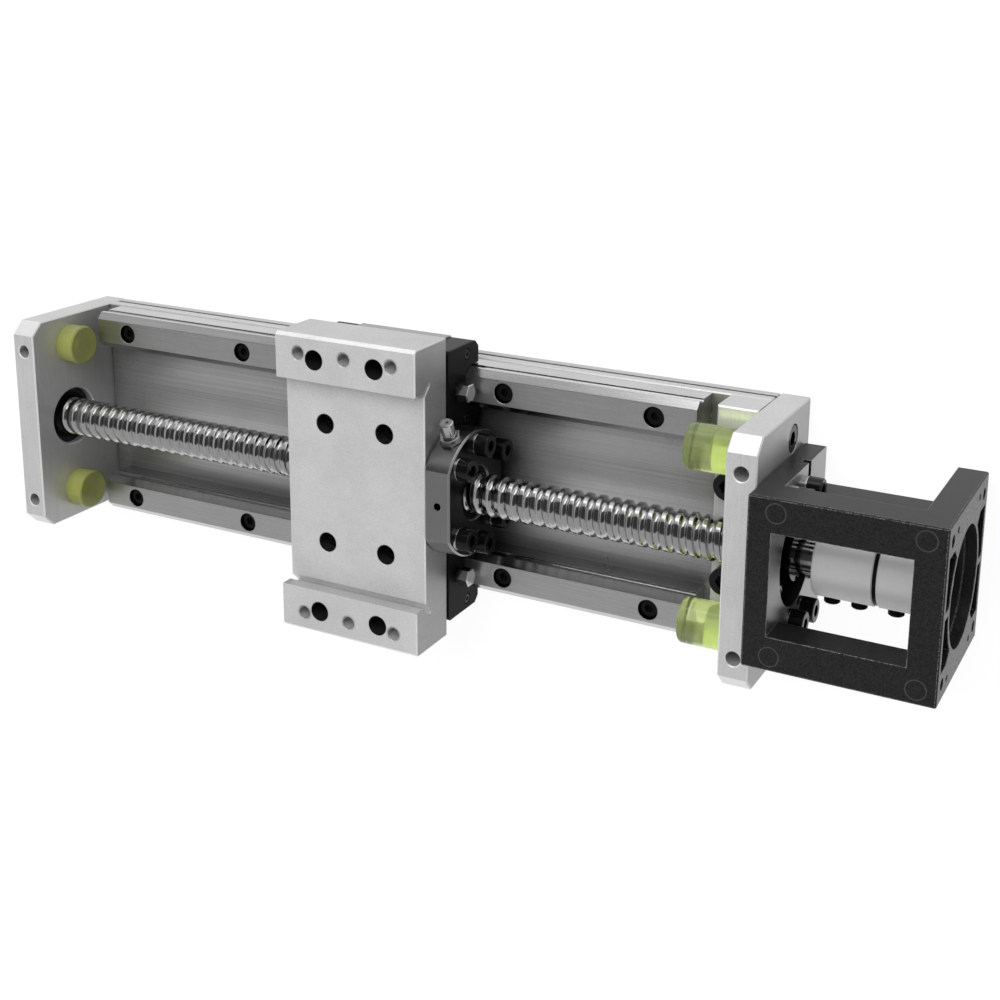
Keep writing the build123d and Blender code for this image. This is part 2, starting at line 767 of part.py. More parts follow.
# Carriage plate: recessed face between two strips, with the nut housing under it
boss_bottom = base_thickness + boss_ground_gap
with BuildPart() as carriage_plate:
    with BuildSketch(x_plane(carriage_start_x)) as section:
        with Locations((0, (block_top + strip_top) / 2)):
            Rectangle(carriage_width, strip_top - block_top)
        chamfer(section.vertices().group_by(Axis.Y)[-1], length=strip_edge_chamfer)
        with Locations((0, strip_top)):
            Rectangle(recess_width, 2 * strip_height, mode=Mode.SUBTRACT)
    extrude(amount=carriage_length)
    chamfer(carriage_plate.faces().filter_by(Axis.X).edges(), length=carriage_edge_break)
    relief_step = (relief_depth - relief_width / 2) / math.sqrt(2)
    with BuildSketch(x_plane(carriage_start_x)):
        for side in sides.values():
            corner = (side * recess_width / 2, recess_floor)
            slot_end = (corner[0] + side * relief_step, recess_floor - relief_step)
            SlotCenterPoint(center=corner, point=slot_end, height=relief_width)
    extrude(amount=carriage_length, mode=Mode.SUBTRACT)
    with BuildSketch(x_plane(nut_seat_x)):
        with Locations((0, (boss_bottom + block_top) / 2)):
            Rectangle(boss_width, block_top - boss_bottom)
    extrude(amount=-boss_length)
    with BuildSketch(axis_plane(nut_seat_x)):
        Circle(nut_body_diameter / 2 + nut_body_clearance)
    extrude(amount=carriage_start_x - nut_seat_x, mode=Mode.SUBTRACT)
    with BuildSketch(axis_plane(nut_seat_x)):
        with Locations(*boss_bolt_places):
            Circle(nut_bolt_thread / 2)
    extrude(amount=-nut_bolt_engagement - thread_run_out, mode=Mode.SUBTRACT)
    for level, inside in ((recess_floor, True), (strip_top, False)):
        holes = [(x, y, level) for x, y in block_holes if (abs(y) < recess_width / 2) == inside]
        with Locations(*holes):
            CounterBoreHole(passage_radius(block_bolt_thread), counterbore_radius(block_bolt_thread),
                            level - block_bolt_seat_z)
    with BuildSketch(Plane.XY.offset(strip_top)):
        with Locations((carriage_x, 0)):
            with GridLocations(load_hole_pitch_x, load_hole_pitch_y, load_hole_count, 2):
                Circle(load_hole_drill / 2)
    extrude(amount=-load_hole_depth, mode=Mode.SUBTRACT)
write(carriage_plate.part, "carriage_plate")

block_bolt = socket_screw(block_bolt_thread, block_bolt_grip + block_bolt_engagement)
block_seats = [(x, y, block_bolt_seat_z) for x, y in block_holes]
write(copies(block_bolt, block_seats), "block_bolts")


def block_slice(centre_y, start_x, length, inset):
    """Length of rail block: broken corners outside, channel below that clears the rail."""
    channel = rail_section(block_rail_clearance)
    with BuildPart() as piece:
        with BuildSketch(x_plane(start_x)) as outline:
            with Locations((centre_y, (block_bottom + block_top) / 2)):
                Rectangle(block_width - 2 * inset, block_top - block_bottom - 2 * inset)
            chamfer(outline.vertices().group_by(Axis.Y)[-1], length=block_top_chamfer)
            chamfer(outline.vertices().group_by(Axis.Y)[0], length=block_bottom_chamfer)
            with Locations((centre_y, base_thickness)):
                add(channel, mode=Mode.SUBTRACT)
        extrude(amount=length)
    return piece.part


# Rail blocks: steel body with a plastic cap and a seal at each end
block_ends = {1: block_body_end, -1: block_body_start}
cap_screw_z = base_thickness + cap_screw_level
block_nipple_z = base_thickness + block_nipple_level
cap_head_x = block_cap_length - cap_screw_sink
cap_screw_head = counterbore_radius(cap_screw_thread)
for name, side in sides.items():
    screw_places = []
    for step in (-cap_screw_spread / 2, cap_screw_spread / 2):
        screw_places.append((side * rail_y + step, cap_screw_z))
    body = block_slice(side * rail_y, block_body_start, block_body_length, 0)
    with BuildPart() as block:
        add(body)
        with BuildSketch(Plane.XY.offset(block_top)):
            with Locations(*[(x, y) for x, y in block_holes if y * side > 0]):
                Circle(block_bolt_thread / 2)
        extrude(amount=-block_bolt_engagement - thread_run_out, mode=Mode.SUBTRACT)
        for end, face_x in block_ends.items():
            with BuildSketch(x_plane(face_x)):
                with Locations(*screw_places):
                    Circle(cap_screw_thread / 2)
            extrude(amount=-end * (cap_screw_engagement + thread_run_out), mode=Mode.SUBTRACT)
    write(block.part, f"block_{name}")
    for end, face_x in block_ends.items():
        end_name = "drive" if end > 0 else "idle"
        cap_body = block_slice(side * rail_y, face_x, end * block_cap_length, cap_inset)
        with BuildPart() as block_cap:
            add(cap_body)
            with BuildSketch(x_plane(face_x)):
                with Locations(*screw_places):
                    Circle(passage_radius(cap_screw_thread))
            extrude(amount=end * block_cap_length, mode=Mode.SUBTRACT)
            with BuildSketch(x_plane(face_x + end * cap_head_x)):
                with Locations(*screw_places):
                    Circle(cap_screw_head)
            extrude(amount=end * cap_screw_sink, mode=Mode.SUBTRACT)
            if end > 0:
                with BuildSketch(x_plane(face_x + block_cap_length)):
                    with Locations((side * rail_y, block_nipple_z)):
                        Circle(block_nipple_thread / 2)
                extrude(amount=-nipple_thread_length, mode=Mode.SUBTRACT)
        write(block_cap.part, f"block_cap_{end_name}_{name}")

plug_hole_radius = plug_neck_radius(block_nipple_flats) + head_clearance
with BuildPart() as block_seals:
    for side in sides.values():
        for end, face_x in block_ends.items():
            add(block_slice(side * rail_y, face_x + end * block_cap_length, end * seal_thickness, cap_inset))
    for side in sides.values():
        with BuildSketch(x_plane(block_end_x)):
            with Locations((side * rail_y, block_nipple_z)):
                Circle(plug_hole_radius)
        extrude(amount=-seal_thickness, mode=Mode.SUBTRACT)
        for end, face_x in block_ends.items():
            with BuildSketch(x_plane(face_x + end * block_cap_length)):
                with Locations((side * rail_y - cap_screw_spread / 2, cap_screw_z),
                               (side * rail_y + cap_screw_spread / 2, cap_screw_z)):
                    Circle(cap_screw_head)
            extrude(amount=end * seal_thickness, mode=Mode.SUBTRACT)
write(block_seals.part, "block_seals")

cap_screw = socket_screw(cap_screw_thread, cap_head_x + cap_screw_engagement)
with BuildPart() as cap_screws:
    for end, face_x in block_ends.items():
        seats = []
        for side in sides.values():
            for step in (-cap_screw_spread / 2, cap_screw_spread / 2):
                seats.append((face_x + end * cap_head_x, side * rail_y + step, cap_screw_z))
        with Locations(*seats):
            add(cap_screw, rotation=along_x if end > 0 else against_x)
write(cap_screws.part, "cap_screws")

block_nipple = grease_plug(block_nipple_flats, block_nipple_height, block_nipple_neck, block_nipple_thread)
nipple_seats = [(block_end_x - seal_thickness, side * rail_y, block_nipple_z) for side in sides.values()]
write(copies(block_nipple, nipple_seats, along_x), "block_nipples")


# Ball nut: flange with two flats, round body, bore over the ball screw
nut_bore_radius = screw_diameter / 2 + screw_running_clearance
nipple_direction = (0, math.cos(math.radians(nut_nipple_angle)), math.sin(math.radians(nut_nipple_angle)))
nipple_axis = Plane(origin=(nut_nipple_x, 0, axis_height), x_dir=(1, 0, 0), z_dir=nipple_direction)
nut_nipple_seat = nut_flange_diameter / 2 - nut_nipple_sink
with BuildPart() as ball_nut:
    with BuildSketch(axis_plane(nut_seat_x)):
        Circle(nut_flange_diameter / 2)
        Rectangle(nut_flange_diameter, nut_flange_flats, mode=Mode.INTERSECT)
    extrude(amount=nut_flange_thickness)
    chamfer(ball_nut.faces().sort_by(Axis.X)[-1].edges(), length=nut_edge_break)
    with BuildSketch(nipple_axis.offset(nut_nipple_seat)):
        Circle(hexagon_radius(nut_nipple_flats) + head_clearance)
    extrude(amount=nut_nipple_sink, mode=Mode.SUBTRACT)
    with BuildSketch(nipple_axis.offset(nut_nipple_seat)):
        Circle(nut_nipple_thread / 2)
    extrude(amount=-nipple_thread_length, mode=Mode.SUBTRACT)
    with BuildSketch(axis_plane(nut_back_x)):
        Circle(nut_body_diameter / 2)
    extrude(amount=nut_seat_x - nut_back_x)
    with BuildSketch(axis_plane(nut_back_x)):
        Circle(nut_bore_radius)
    extrude(amount=nut_length, mode=Mode.SUBTRACT)
    for seat_x, into in ((nut_back_x, 1), (nut_front_x, -1)):
        with BuildSketch(axis_plane(seat_x)):
            Circle(nut_wiper_diameter / 2)
        extrude(amount=into * (nut_wiper_sink + nut_wiper_thickness), mode=Mode.SUBTRACT)
        end_face = ball_nut.faces().sort_by(Axis.X)[0 if into > 0 else -1]
        mouth = end_face.edges().filter_by(GeomType.CIRCLE).sort_by(SortBy.RADIUS)[0]
        chamfer(mouth, length=nut_mouth_chamfer)
    with BuildSketch(axis_plane(nut_seat_x)):
        with Locations(*nut_bolt_places):
            Circle(passage_radius(nut_bolt_thread))
    extrude(amount=nut_flange_thickness, mode=Mode.SUBTRACT)
    with BuildSketch(Plane.XY.offset(axis_height + nut_flange_flats / 2)):
        with Locations((nut_nipple_x, 0)):
            Circle(nut_oil_hole / 2)
    extrude(amount=-nut_oil_hole_depth, mode=Mode.SUBTRACT)
write(ball_nut.part, "ball_nut")

wiper_seats = (nut_back_x + nut_wiper_sink, nut_front_x - nut_wiper_sink - nut_wiper_thickness)
with BuildPart() as nut_wipers:
    for wiper_x in wiper_seats:
        with BuildSketch(axis_plane(wiper_x)):
            Circle(nut_wiper_diameter / 2)
            Circle(nut_bore_radius, mode=Mode.SUBTRACT)
        extrude(amount=nut_wiper_thickness)
write(nut_wipers.part, "nut_wipers")

# The two bolts at the sides end in the flange, because the rail blocks lie behind them
washer = spring_washer(nut_bolt_thread)
washer_seats = [(nut_front_x, y, axis_height + z) for y, z in nut_bolt_places]
write(copies(washer, washer_seats, along_x), "nut_washers")
flange_grip = nut_flange_thickness + spring_washer_thickness
long_bolt = socket_screw(nut_bolt_thread, flange_grip + nut_bolt_engagement)
short_bolt = socket_screw(nut_bolt_thread, flange_grip)
with BuildPart() as nut_bolts:
    for bolt, places in ((long_bolt, boss_bolt_places), (short_bolt, side_bolt_places)):
        with Locations(*[(nut_front_x + spring_washer_thickness, y, axis_height + z) for y, z in places]):
            add(bolt, rotation=along_x)
write(nut_bolts.part, "nut_bolts")

nut_nipple_piece = grease_nipple(nut_nipple_flats, nut_nipple_height, nut_nipple_thread)
with BuildPart() as nut_nipple:
    with Locations(nipple_axis.offset(nut_nipple_seat)):
        add(nut_nipple_piece)
write(nut_nipple.part, "nut_nipple")


# Coupling: two hubs with a cross tenon disc between them
coupling_screw_steps = (coupling_screw_inset, coupling_screw_inset + coupling_screw_pitch)


def coupling_hub(start_x, bore, inner_face, turn):
    """Hub with its bore, a blind slot for the disc's tenon and two radial screw seats."""
    into = 1 if inner_face == start_x else -1
    with BuildPart() as hub:
        with BuildSketch(axis_plane(start_x)):
            Circle(coupling_diameter / 2)
        extrude(amount=coupling_hub_length)
        chamfer(hub.faces().filter_by(Axis.X).edges(), length=coupling_edge_break)
        with BuildSketch(axis_plane(start_x)):
            Circle(bore / 2)
        extrude(amount=coupling_hub_length, mode=Mode.SUBTRACT)
        with BuildSketch(axis_plane(inner_face)):
            Rectangle(tenon_length + 2 * tenon_clearance, tenon_width + 2 * tenon_clearance, rotation=turn)
            Circle(coupling_relief_diameter / 2)
        extrude(amount=into * (tenon_height + tenon_clearance), mode=Mode.SUBTRACT)
        for screw_x in coupling_screw_steps:
            across = Plane(origin=(start_x + screw_x, 0, axis_height), x_dir=(1, 0, 0), z_dir=(0, -1, 0))
            with BuildSketch(across.offset(coupling_screw_seat)):
                Circle(counterbore_radius(coupling_screw_thread))
            extrude(amount=coupling_diameter / 2 - coupling_screw_seat, mode=Mode.SUBTRACT)
            with BuildSketch(across.offset(coupling_screw_seat)):
                Circle(coupling_screw_thread / 2)
            extrude(amount=-coupling_screw_seat, mode=Mode.SUBTRACT)
    return hub.part


screw_hub = coupling_hub(coupling_start, coupling_journal_diameter, coupling_middle, 0)
motor_hub = coupling_hub(coupling_motor_start, coupling_motor_bore, coupling_motor_start, 90)
write(screw_hub, "coupling_screw_hub")
write(motor_hub, "coupling_motor_hub")

with BuildPart() as coupling_disc:
    with BuildSketch(axis_plane(coupling_middle)):
        Circle(coupling_disc_diameter / 2)
    extrude(amount=coupling_gap)
    with BuildSketch(axis_plane(coupling_middle)):
        Rectangle(tenon_length, tenon_width)
    extrude(amount=-tenon_height)
    with BuildSketch(axis_plane(coupling_motor_start)):
        Rectangle(tenon_width, tenon_length)
    extrude(amount=tenon_height)
    with BuildSketch(axis_plane(coupling_middle - tenon_height)):
        Circle(coupling_disc_bore / 2)
    extrude(amount=coupling_gap + 2 * tenon_height, mode=Mode.SUBTRACT)
write(coupling_disc.part, "coupling_disc")

hub_bores = {coupling_start: coupling_journal_diameter, coupling_motor_start: coupling_motor_bore}
with BuildPart() as coupling_screws:
    for hub_x, bore in hub_bores.items():
        clamp_screw = socket_screw(coupling_screw_thread, coupling_screw_seat - bore / 2 - head_clearance)
        for screw_x in coupling_screw_steps:
            with Locations((hub_x + screw_x, -coupling_screw_seat, axis_height)):
                add(clamp_screw, rotation=towards_right)
write(coupling_screws.part, "coupling_screws")


# Motor bracket: cast frame with an end flange for the plate and one for the motor
half_size = bracket_size / 2
with BuildPart() as motor_bracket:
    with BuildSketch(axis_plane(bracket_start_x)):
        Rectangle(bracket_size, bracket_size)
    extrude(amount=bracket_length)
    chamfer(motor_bracket.edges(), length=bracket_edge_break)
    with BuildSketch(axis_plane(bracket_inner_start)):
        Rectangle(bracket_size, bracket_size)
        with Locations((0, half_size - bracket_wall / 2)):
            Rectangle(bracket_size, bracket_wall, mode=Mode.SUBTRACT)
            Rectangle(bracket_window_height, bracket_wall, mode=Mode.ADD)
        with Locations((0, beam_thickness / 2 - half_size)):
            Rectangle(beam_height, beam_thickness, mode=Mode.SUBTRACT)
    extrude(amount=bracket_inner_end - bracket_inner_start, mode=Mode.SUBTRACT)
    with BuildSketch(axis_plane(bracket_start_x)):
        Circle(bracket_bore / 2)
    extrude(amount=bracket_plate_flange, mode=Mode.SUBTRACT)
    with BuildSketch(axis_plane(bracket_end_x)):
        Circle(cast_bore / 2)
    extrude(amount=-bracket_motor_flange, mode=Mode.SUBTRACT)
    with BuildSketch(axis_plane(bracket_end_x)):
        Circle(pilot_diameter / 2)
    extrude(amount=-pilot_depth, mode=Mode.SUBTRACT)
    with BuildSketch(axis_plane(bracket_start_x)):
        with GridLocations(bracket_screw_pitch_y, bracket_screw_pitch_z, 2, 2):
            Circle(passage_radius(bracket_screw_thread))
    extrude(amount=bracket_plate_flange, mode=Mode.SUBTRACT)
    with BuildSketch(axis_plane(bracket_end_x)):
        with GridLocations(motor_hole_pitch, motor_hole_pitch, 2, 2):
            Circle(motor_hole_drill / 2)
    extrude(amount=-bracket_motor_flange, mode=Mode.SUBTRACT)
    with BuildSketch(axis_plane(bracket_end_x)):
        with GridLocations(small_hole_pitch_y, small_hole_pitch_z, 2, 2):
            Circle(small_hole_drill / 2)
    extrude(amount=-small_hole_depth, mode=Mode.SUBTRACT)
    pocket_outer = half_size - pocket_wall
    half_pocket = pocket_width / 2
    with BuildSketch(axis_plane(bracket_end_x)):
        for side in sides.values():
            with BuildLine():
                Polyline((0, 0), (half_pocket, side * half_pocket), (half_pocket, side * pocket_outer),
                         (-half_pocket, side * pocket_outer), (-half_pocket, side * half_pocket), close=True)
            make_face()
        Circle(pilot_diameter / 2 + pilot_rim, mode=Mode.SUBTRACT)
        Rectangle(pocket_web, bracket_size, mode=Mode.SUBTRACT)
    extrude(amount=-pocket_depth, mode=Mode.SUBTRACT)
    with BuildSketch(axis_plane(bracket_inner_start)):
        with Locations((half_size - notch_length / 2, -notch_below_axis)):
            Rectangle(notch_length, notch_width)
    extrude(amount=-notch_depth, mode=Mode.SUBTRACT)
write(motor_bracket.part, "motor_bracket")

bracket_screw_places = []
for y in (-bracket_screw_pitch_y / 2, bracket_screw_pitch_y / 2):
    for z in (-bracket_screw_pitch_z / 2, bracket_screw_pitch_z / 2):
        bracket_screw_places.append((bracket_inner_start, y, axis_height + z))
bracket_washer = spring_washer(bracket_screw_thread)
write(copies(bracket_washer, bracket_screw_places, along_x), "bracket_washers")
bracket_grip = bracket_plate_flange + spring_washer_thickness
bracket_screw = socket_screw(bracket_screw_thread, bracket_grip + bracket_screw_engagement)
bracket_seats = [(x + spring_washer_thickness, y, z) for x, y, z in bracket_screw_places]
write(copies(bracket_screw, bracket_seats, along_x), "bracket_screws")
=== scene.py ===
"""Looks of a ball screw slide table: rails on a base plate, a carriage, and a motor bracket."""
import math

import bpy
import numpy as np
from mathutils import Matrix, Vector


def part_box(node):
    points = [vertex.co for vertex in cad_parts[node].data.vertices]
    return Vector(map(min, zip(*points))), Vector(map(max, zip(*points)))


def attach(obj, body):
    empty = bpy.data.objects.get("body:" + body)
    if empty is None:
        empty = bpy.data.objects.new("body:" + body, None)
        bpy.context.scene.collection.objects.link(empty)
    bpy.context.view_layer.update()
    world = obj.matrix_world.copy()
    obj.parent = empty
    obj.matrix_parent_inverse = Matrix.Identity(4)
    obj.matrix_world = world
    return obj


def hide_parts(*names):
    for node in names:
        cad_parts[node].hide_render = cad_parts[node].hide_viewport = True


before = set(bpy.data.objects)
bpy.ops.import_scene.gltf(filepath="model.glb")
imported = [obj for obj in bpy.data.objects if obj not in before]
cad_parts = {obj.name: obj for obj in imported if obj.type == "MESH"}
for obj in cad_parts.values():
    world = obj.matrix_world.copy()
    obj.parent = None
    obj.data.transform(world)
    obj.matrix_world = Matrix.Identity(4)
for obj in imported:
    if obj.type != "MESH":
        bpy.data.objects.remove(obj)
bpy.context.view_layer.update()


# The viewpoint: close over the table's motor end, looking down at it along the length of the rails.
# It is the place and the lens that put the plates, rail holes and screw heads where the photograph
# has them.
eye = Vector((0.3048, 0.1955, 0.4985))
sight = Vector((-0.4459, -0.2412, -0.8620)).normalized()
upright = Vector((-0.1192, 0.9704, -0.2099))
across = sight.cross(upright).normalized()
upright = across.cross(sight).normalized()
turn = Matrix((across, upright, -sight)).transposed().to_4x4()
camera_data = bpy.data.cameras.new("viewpoint")
camera_data.sensor_width = 36.0
camera_data.lens = 54.50
camera_data.shift_x = -0.0216
camera_data.shift_y = -0.1735
camera_data.clip_start = 0.01
camera_data.clip_end = 100.0
camera = bpy.data.objects.new("viewpoint", camera_data)
bpy.context.scene.collection.objects.link(camera)
camera.matrix_world = Matrix.Translation(eye) @ turn
bpy.context.scene.camera = camera
bpy.context.scene.view_settings.view_transform = "Standard"


# The studio: a white floor that the table stands on, and soft light from its left side and from
# above. Polished metal also sees a bright window low on the left, a dark ceiling, and a grey wall
# on the right.
def new_node(tree, kind, inputs=None, **settings):
    """A shader node of that kind, its properties set by name and its sockets from the inputs."""
    node = tree.nodes.new(kind)
    for key, value in settings.items():
        setattr(node, key, value)
    for key, value in (inputs or {}).items():
        if isinstance(value, bpy.types.NodeSocket):
            tree.links.new(value, node.inputs[key])
        else:
            node.inputs[key].default_value = value
    return node


def maths(tree, operation, *values):
    """Result of that operation on one, two or three values."""
    return new_node(tree, "ShaderNodeMath", dict(enumerate(values)), operation=operation).outputs[0]


def mixed(tree, share, first, second):
    """Number between the first and the second, at that share of the way."""
    return new_node(tree, "ShaderNodeMix", {0: share, 2: first, 3: second}).outputs[0]


def bare_material(name):
    """A material without nodes, and its tree."""
    material = bpy.data.materials.new(name)
    material.use_nodes = True
    material.node_tree.nodes.clear()
    return material, material.node_tree


def seen_directly(tree):
    """1 for a ray from the camera, from polished metal or through glass, else 0."""
    path = new_node(tree, "ShaderNodeLightPath")
    seen = maths(tree, "MAXIMUM", path.outputs["Is Camera Ray"], path.outputs["Is Glossy Ray"])
    return maths(tree, "MAXIMUM", seen, path.outputs["Is Transmission Ray"])


def flat_sheet(name, centre, half_x, half_y, facing):
    """Rectangle of that half size round the centre, square to the facing direction."""
    out = Vector(facing).normalized()
    side = out.orthogonal().normalized() if abs(out.z) < 0.999 else Vector((1, 0, 0))
    other = out.cross(side)
    signs = ((-1, -1), (1, -1), (1, 1), (-1, 1))
    corners = [Vector(centre) + a * half_x * side + b * half_y * other for a, b in signs]
    mesh = bpy.data.meshes.new(name)
    mesh.from_pydata([tuple(c) for c in corners], [], [(0, 1, 2, 3)])
    sheet = bpy.data.objects.new(name, mesh)
    bpy.context.scene.collection.objects.link(sheet)
    return sheet


floor_half = 30
floor_glow, floor_glow_in_metal = 0.93, 0.75
floor = flat_sheet("floor", (0, 0, 0), floor_half, floor_half, (0, 0, 1))
floor_paint, tree = bare_material("floor_paint")
pale = new_node(tree, "ShaderNodeBsdfDiffuse", {"Color": (0.50, 0.50, 0.50, 1)})
faint = new_node(tree, "ShaderNodeBsdfDiffuse", {"Color": (0.12, 0.12, 0.12, 1)})
watched = new_node(tree, "ShaderNodeLightPath")
brightness = mixed(tree, watched.outputs["Is Glossy Ray"], floor_glow, floor_glow_in_metal)
glow = new_node(tree, "ShaderNodeEmission", {"Color": (1, 1, 1, 1), "Strength": brightness})
white = new_node(tree, "ShaderNodeAddShader", {0: faint.outputs[0], 1: glow.outputs[0]})
shown = new_node(tree, "ShaderNodeMixShader", {0: seen_directly(tree), 1: pale.outputs[0],
                                               2: white.outputs[0]})
new_node(tree, "ShaderNodeOutputMaterial", {"Surface": shown.outputs[0]})
floor.data.materials.append(floor_paint)

sky_light, sky_seen = 0.24, 0.50
studio = bpy.data.worlds.new("studio")
bpy.context.scene.world = studio
studio.use_nodes = True
tree = studio.node_tree
tree.nodes.clear()
level = mixed(tree, seen_directly(tree), sky_light, sky_seen)
sky = new_node(tree, "ShaderNodeBackground", {"Color": (1, 1, 1, 1), "Strength": level})
new_node(tree, "ShaderNodeOutputWorld", {"Surface": sky.outputs[0]})


def reflected_board(name, centre, half_x, half_y, facing, strength):
    """Glowing sheet of that strength that only polished surfaces see."""
    board = flat_sheet(name, centre, half_x, half_y, facing)
    paint, tree = bare_material(name + "_paint")
    glow = new_node(tree, "ShaderNodeEmission", {"Color": (1, 1, 1, 1), "Strength": strength})
    new_node(tree, "ShaderNodeOutputMaterial", {"Surface": glow.outputs[0]})
    board.data.materials.append(paint)
    board.visible_camera = False
    board.visible_diffuse = False
    board.visible_shadow = False
    board.visible_transmission = False


reflected_board("dark_ceiling", (-0.15, 0.78, 1.10), 1.45, 0.95, (0, 0, -1), strength=0.05)
reflected_board("grey_wall", (-0.15, -1.29, 1.10), 1.45, 1.12, (0, 0, -1), strength=0.45)
reflected_board("window", (-0.15, 1.80, 0.42), 1.60, 0.40, (0, -1, 0), strength=1.9)


def soft_lamp(name, place, target, size, watts):
    """Square area lamp at that place, turned to the target, left out of reflections."""
    data = bpy.data.lights.new(name, "AREA")
    data.shape = "SQUARE"
    data.size = size
    data.energy = watts
    lamp = bpy.data.objects.new(name, data)
    bpy.context.scene.collection.objects.link(lamp)
    lamp.location = place
    lamp.rotation_mode = "QUATERNION"
    lamp.rotation_quaternion = (Vector(target) - Vector(place)).to_track_quat("-Z", "Y")
    lamp.visible_glossy = False


soft_lamp("left_lamp", (0.03, 0.62, 0.90), (0, 0, 0.02), size=0.8, watts=10.6)
soft_lamp("right_lamp", (-0.2, -1.1, 0.7), (0, 0, 0.02), size=0.6, watts=4.0)


# Base plate: one flat bar of aluminium, clear anodised, with a clamp groove along each side. It was
# drawn lengthways, so fine lines run along it, and fingers and oil have left it cloudy. The rails,
# the idle end plate and the foot block are screwed to it.
def new_group(name, inputs, outputs):
    """Shader node group with those sockets, its tree, and its input and output nodes."""
    group = bpy.data.node_groups.new(name, "ShaderNodeTree")
    for socket, kind, value in inputs:
        item = group.interface.new_socket(name=socket, in_out="INPUT", socket_type=kind)
        item.default_value = value
    for socket, kind in outputs:
        group.interface.new_socket(name=socket, in_out="OUTPUT", socket_type=kind)
    return group, group.nodes.new("NodeGroupInput"), group.nodes.new("NodeGroupOutput")


def own_place(tree):
    """Place on the object, in its own coordinates."""
    return new_node(tree, "ShaderNodeTexCoord").outputs["Object"]


def ranged(tree, value, source, target=(0.0, 1.0)):
    """Value carried over from the source range to the target range, and held at their ends."""
    return new_node(tree, "ShaderNodeMapRange", {"Value": value, "From Min": source[0],
                                                 "From Max": source[1], "To Min": target[0],
                                                 "To Max": target[1]}).outputs[0]


lines_group, given, result = new_group(
    "drawn_lines",
    [("Density", "NodeSocketVector", (20, 2500, 2500)), ("Contrast", "NodeSocketFloat", 1.0)],
    [("Lines", "NodeSocketFloat")])
stretched = new_node(lines_group, "ShaderNodeVectorMath",
                     {0: own_place(lines_group), 1: given.outputs["Density"]}, operation="MULTIPLY")
streaks = new_node(lines_group, "ShaderNodeTexNoise",
                   {"Vector": stretched.outputs[0], "Scale": 1.0, "Detail": 3.0, "Roughness": 0.65})
centred = maths(lines_group, "SUBTRACT", streaks.outputs[0], 0.5)
scaled_lines = maths(lines_group, "MULTIPLY_ADD", centred, given.outputs["Contrast"], 0.5)
lines_group.links.new(scaled_lines, result.inputs["Lines"])

edges_group, given, result = new_group(
    "broken_edges",
    [("Width", "NodeSocketFloat", 0.0003)],
    [("Edge", "NodeSocketFloat"), ("Normal", "NodeSocketVector")])
rounded = new_node(edges_group, "ShaderNodeBevel", {"Radius": given.outputs["Width"]}, samples=6)
plain = new_node(edges_group, "ShaderNodeNewGeometry")
alike = new_node(edges_group, "ShaderNodeVectorMath",
                 {0: rounded.outputs[0], 1: plain.outputs["Normal"]}, operation="DOT_PRODUCT")
edge = ranged(edges_group, alike.outputs["Value"], (0.995, 0.90))
edges_group.links.new(edge, result.inputs["Edge"])
edges_group.links.new(rounded.outputs[0], result.inputs["Normal"])

marks_group, given, result = new_group(
    "handling_marks",
    [("Size", "NodeSocketFloat", 40.0)],
    [("Clouds", "NodeSocketFloat"), ("Specks", "NodeSocketFloat")])
place = own_place(marks_group)
clouds = new_node(marks_group, "ShaderNodeTexNoise",
                  {"Vector": place, "Scale": given.outputs["Size"], "Detail": 4.0,
                   "Roughness": 0.6})
specks = new_node(marks_group, "ShaderNodeTexNoise",
                  {"Vector": place, "Scale": 1700.0, "Detail": 3.0, "Roughness": 0.7})
marks_group.links.new(clouds.outputs[0], result.inputs["Clouds"])
marks_group.links.new(specks.outputs[0], result.inputs["Specks"])


def placed(tree, group, inputs=None):
    """The group as a node of the tree."""
    return new_node(tree, "ShaderNodeGroup", inputs, node_tree=group)


def xyz(tree, space):
    """X, Y and Z of the object's own coordinates, or of its normal."""
    coordinates = new_node(tree, "ShaderNodeTexCoord")
    return new_node(tree, "ShaderNodeSeparateXYZ", {0: coordinates.outputs[space]}).outputs


def scaled(tree, colour, factor):
    """Colour times the factor."""
    return new_node(tree, "ShaderNodeVectorMath", {0: colour, "Scale": factor},
                    operation="SCALE").outputs[0]


def mixed_colour(tree, share, first, second):
    """Colour between the first and the second, at that share of the way."""
    return new_node(tree, "ShaderNodeMix", {0: share, 6: first, 7: second},
                    data_type="RGBA").outputs[2]


def bumped(tree, height, distance, normal, strength=1.0):
    """The normal, tilted as on a surface that rises by the distance where the height goes from 0
    to 1."""
    return new_node(tree, "ShaderNodeBump", {"Height": height, "Strength": strength,
                                             "Distance": distance, "Normal": normal}).outputs[0]


# How closed a place is before painted shade darkens it, how far clouds change the roughness, and
# when a face counts as turned one way, as the top, or as a chamfer.
painted_shade_range = (0.1, 0.7)
roughness_spread = 0.06
same_way = 0.05
upward = 0.95
slant = 0.707


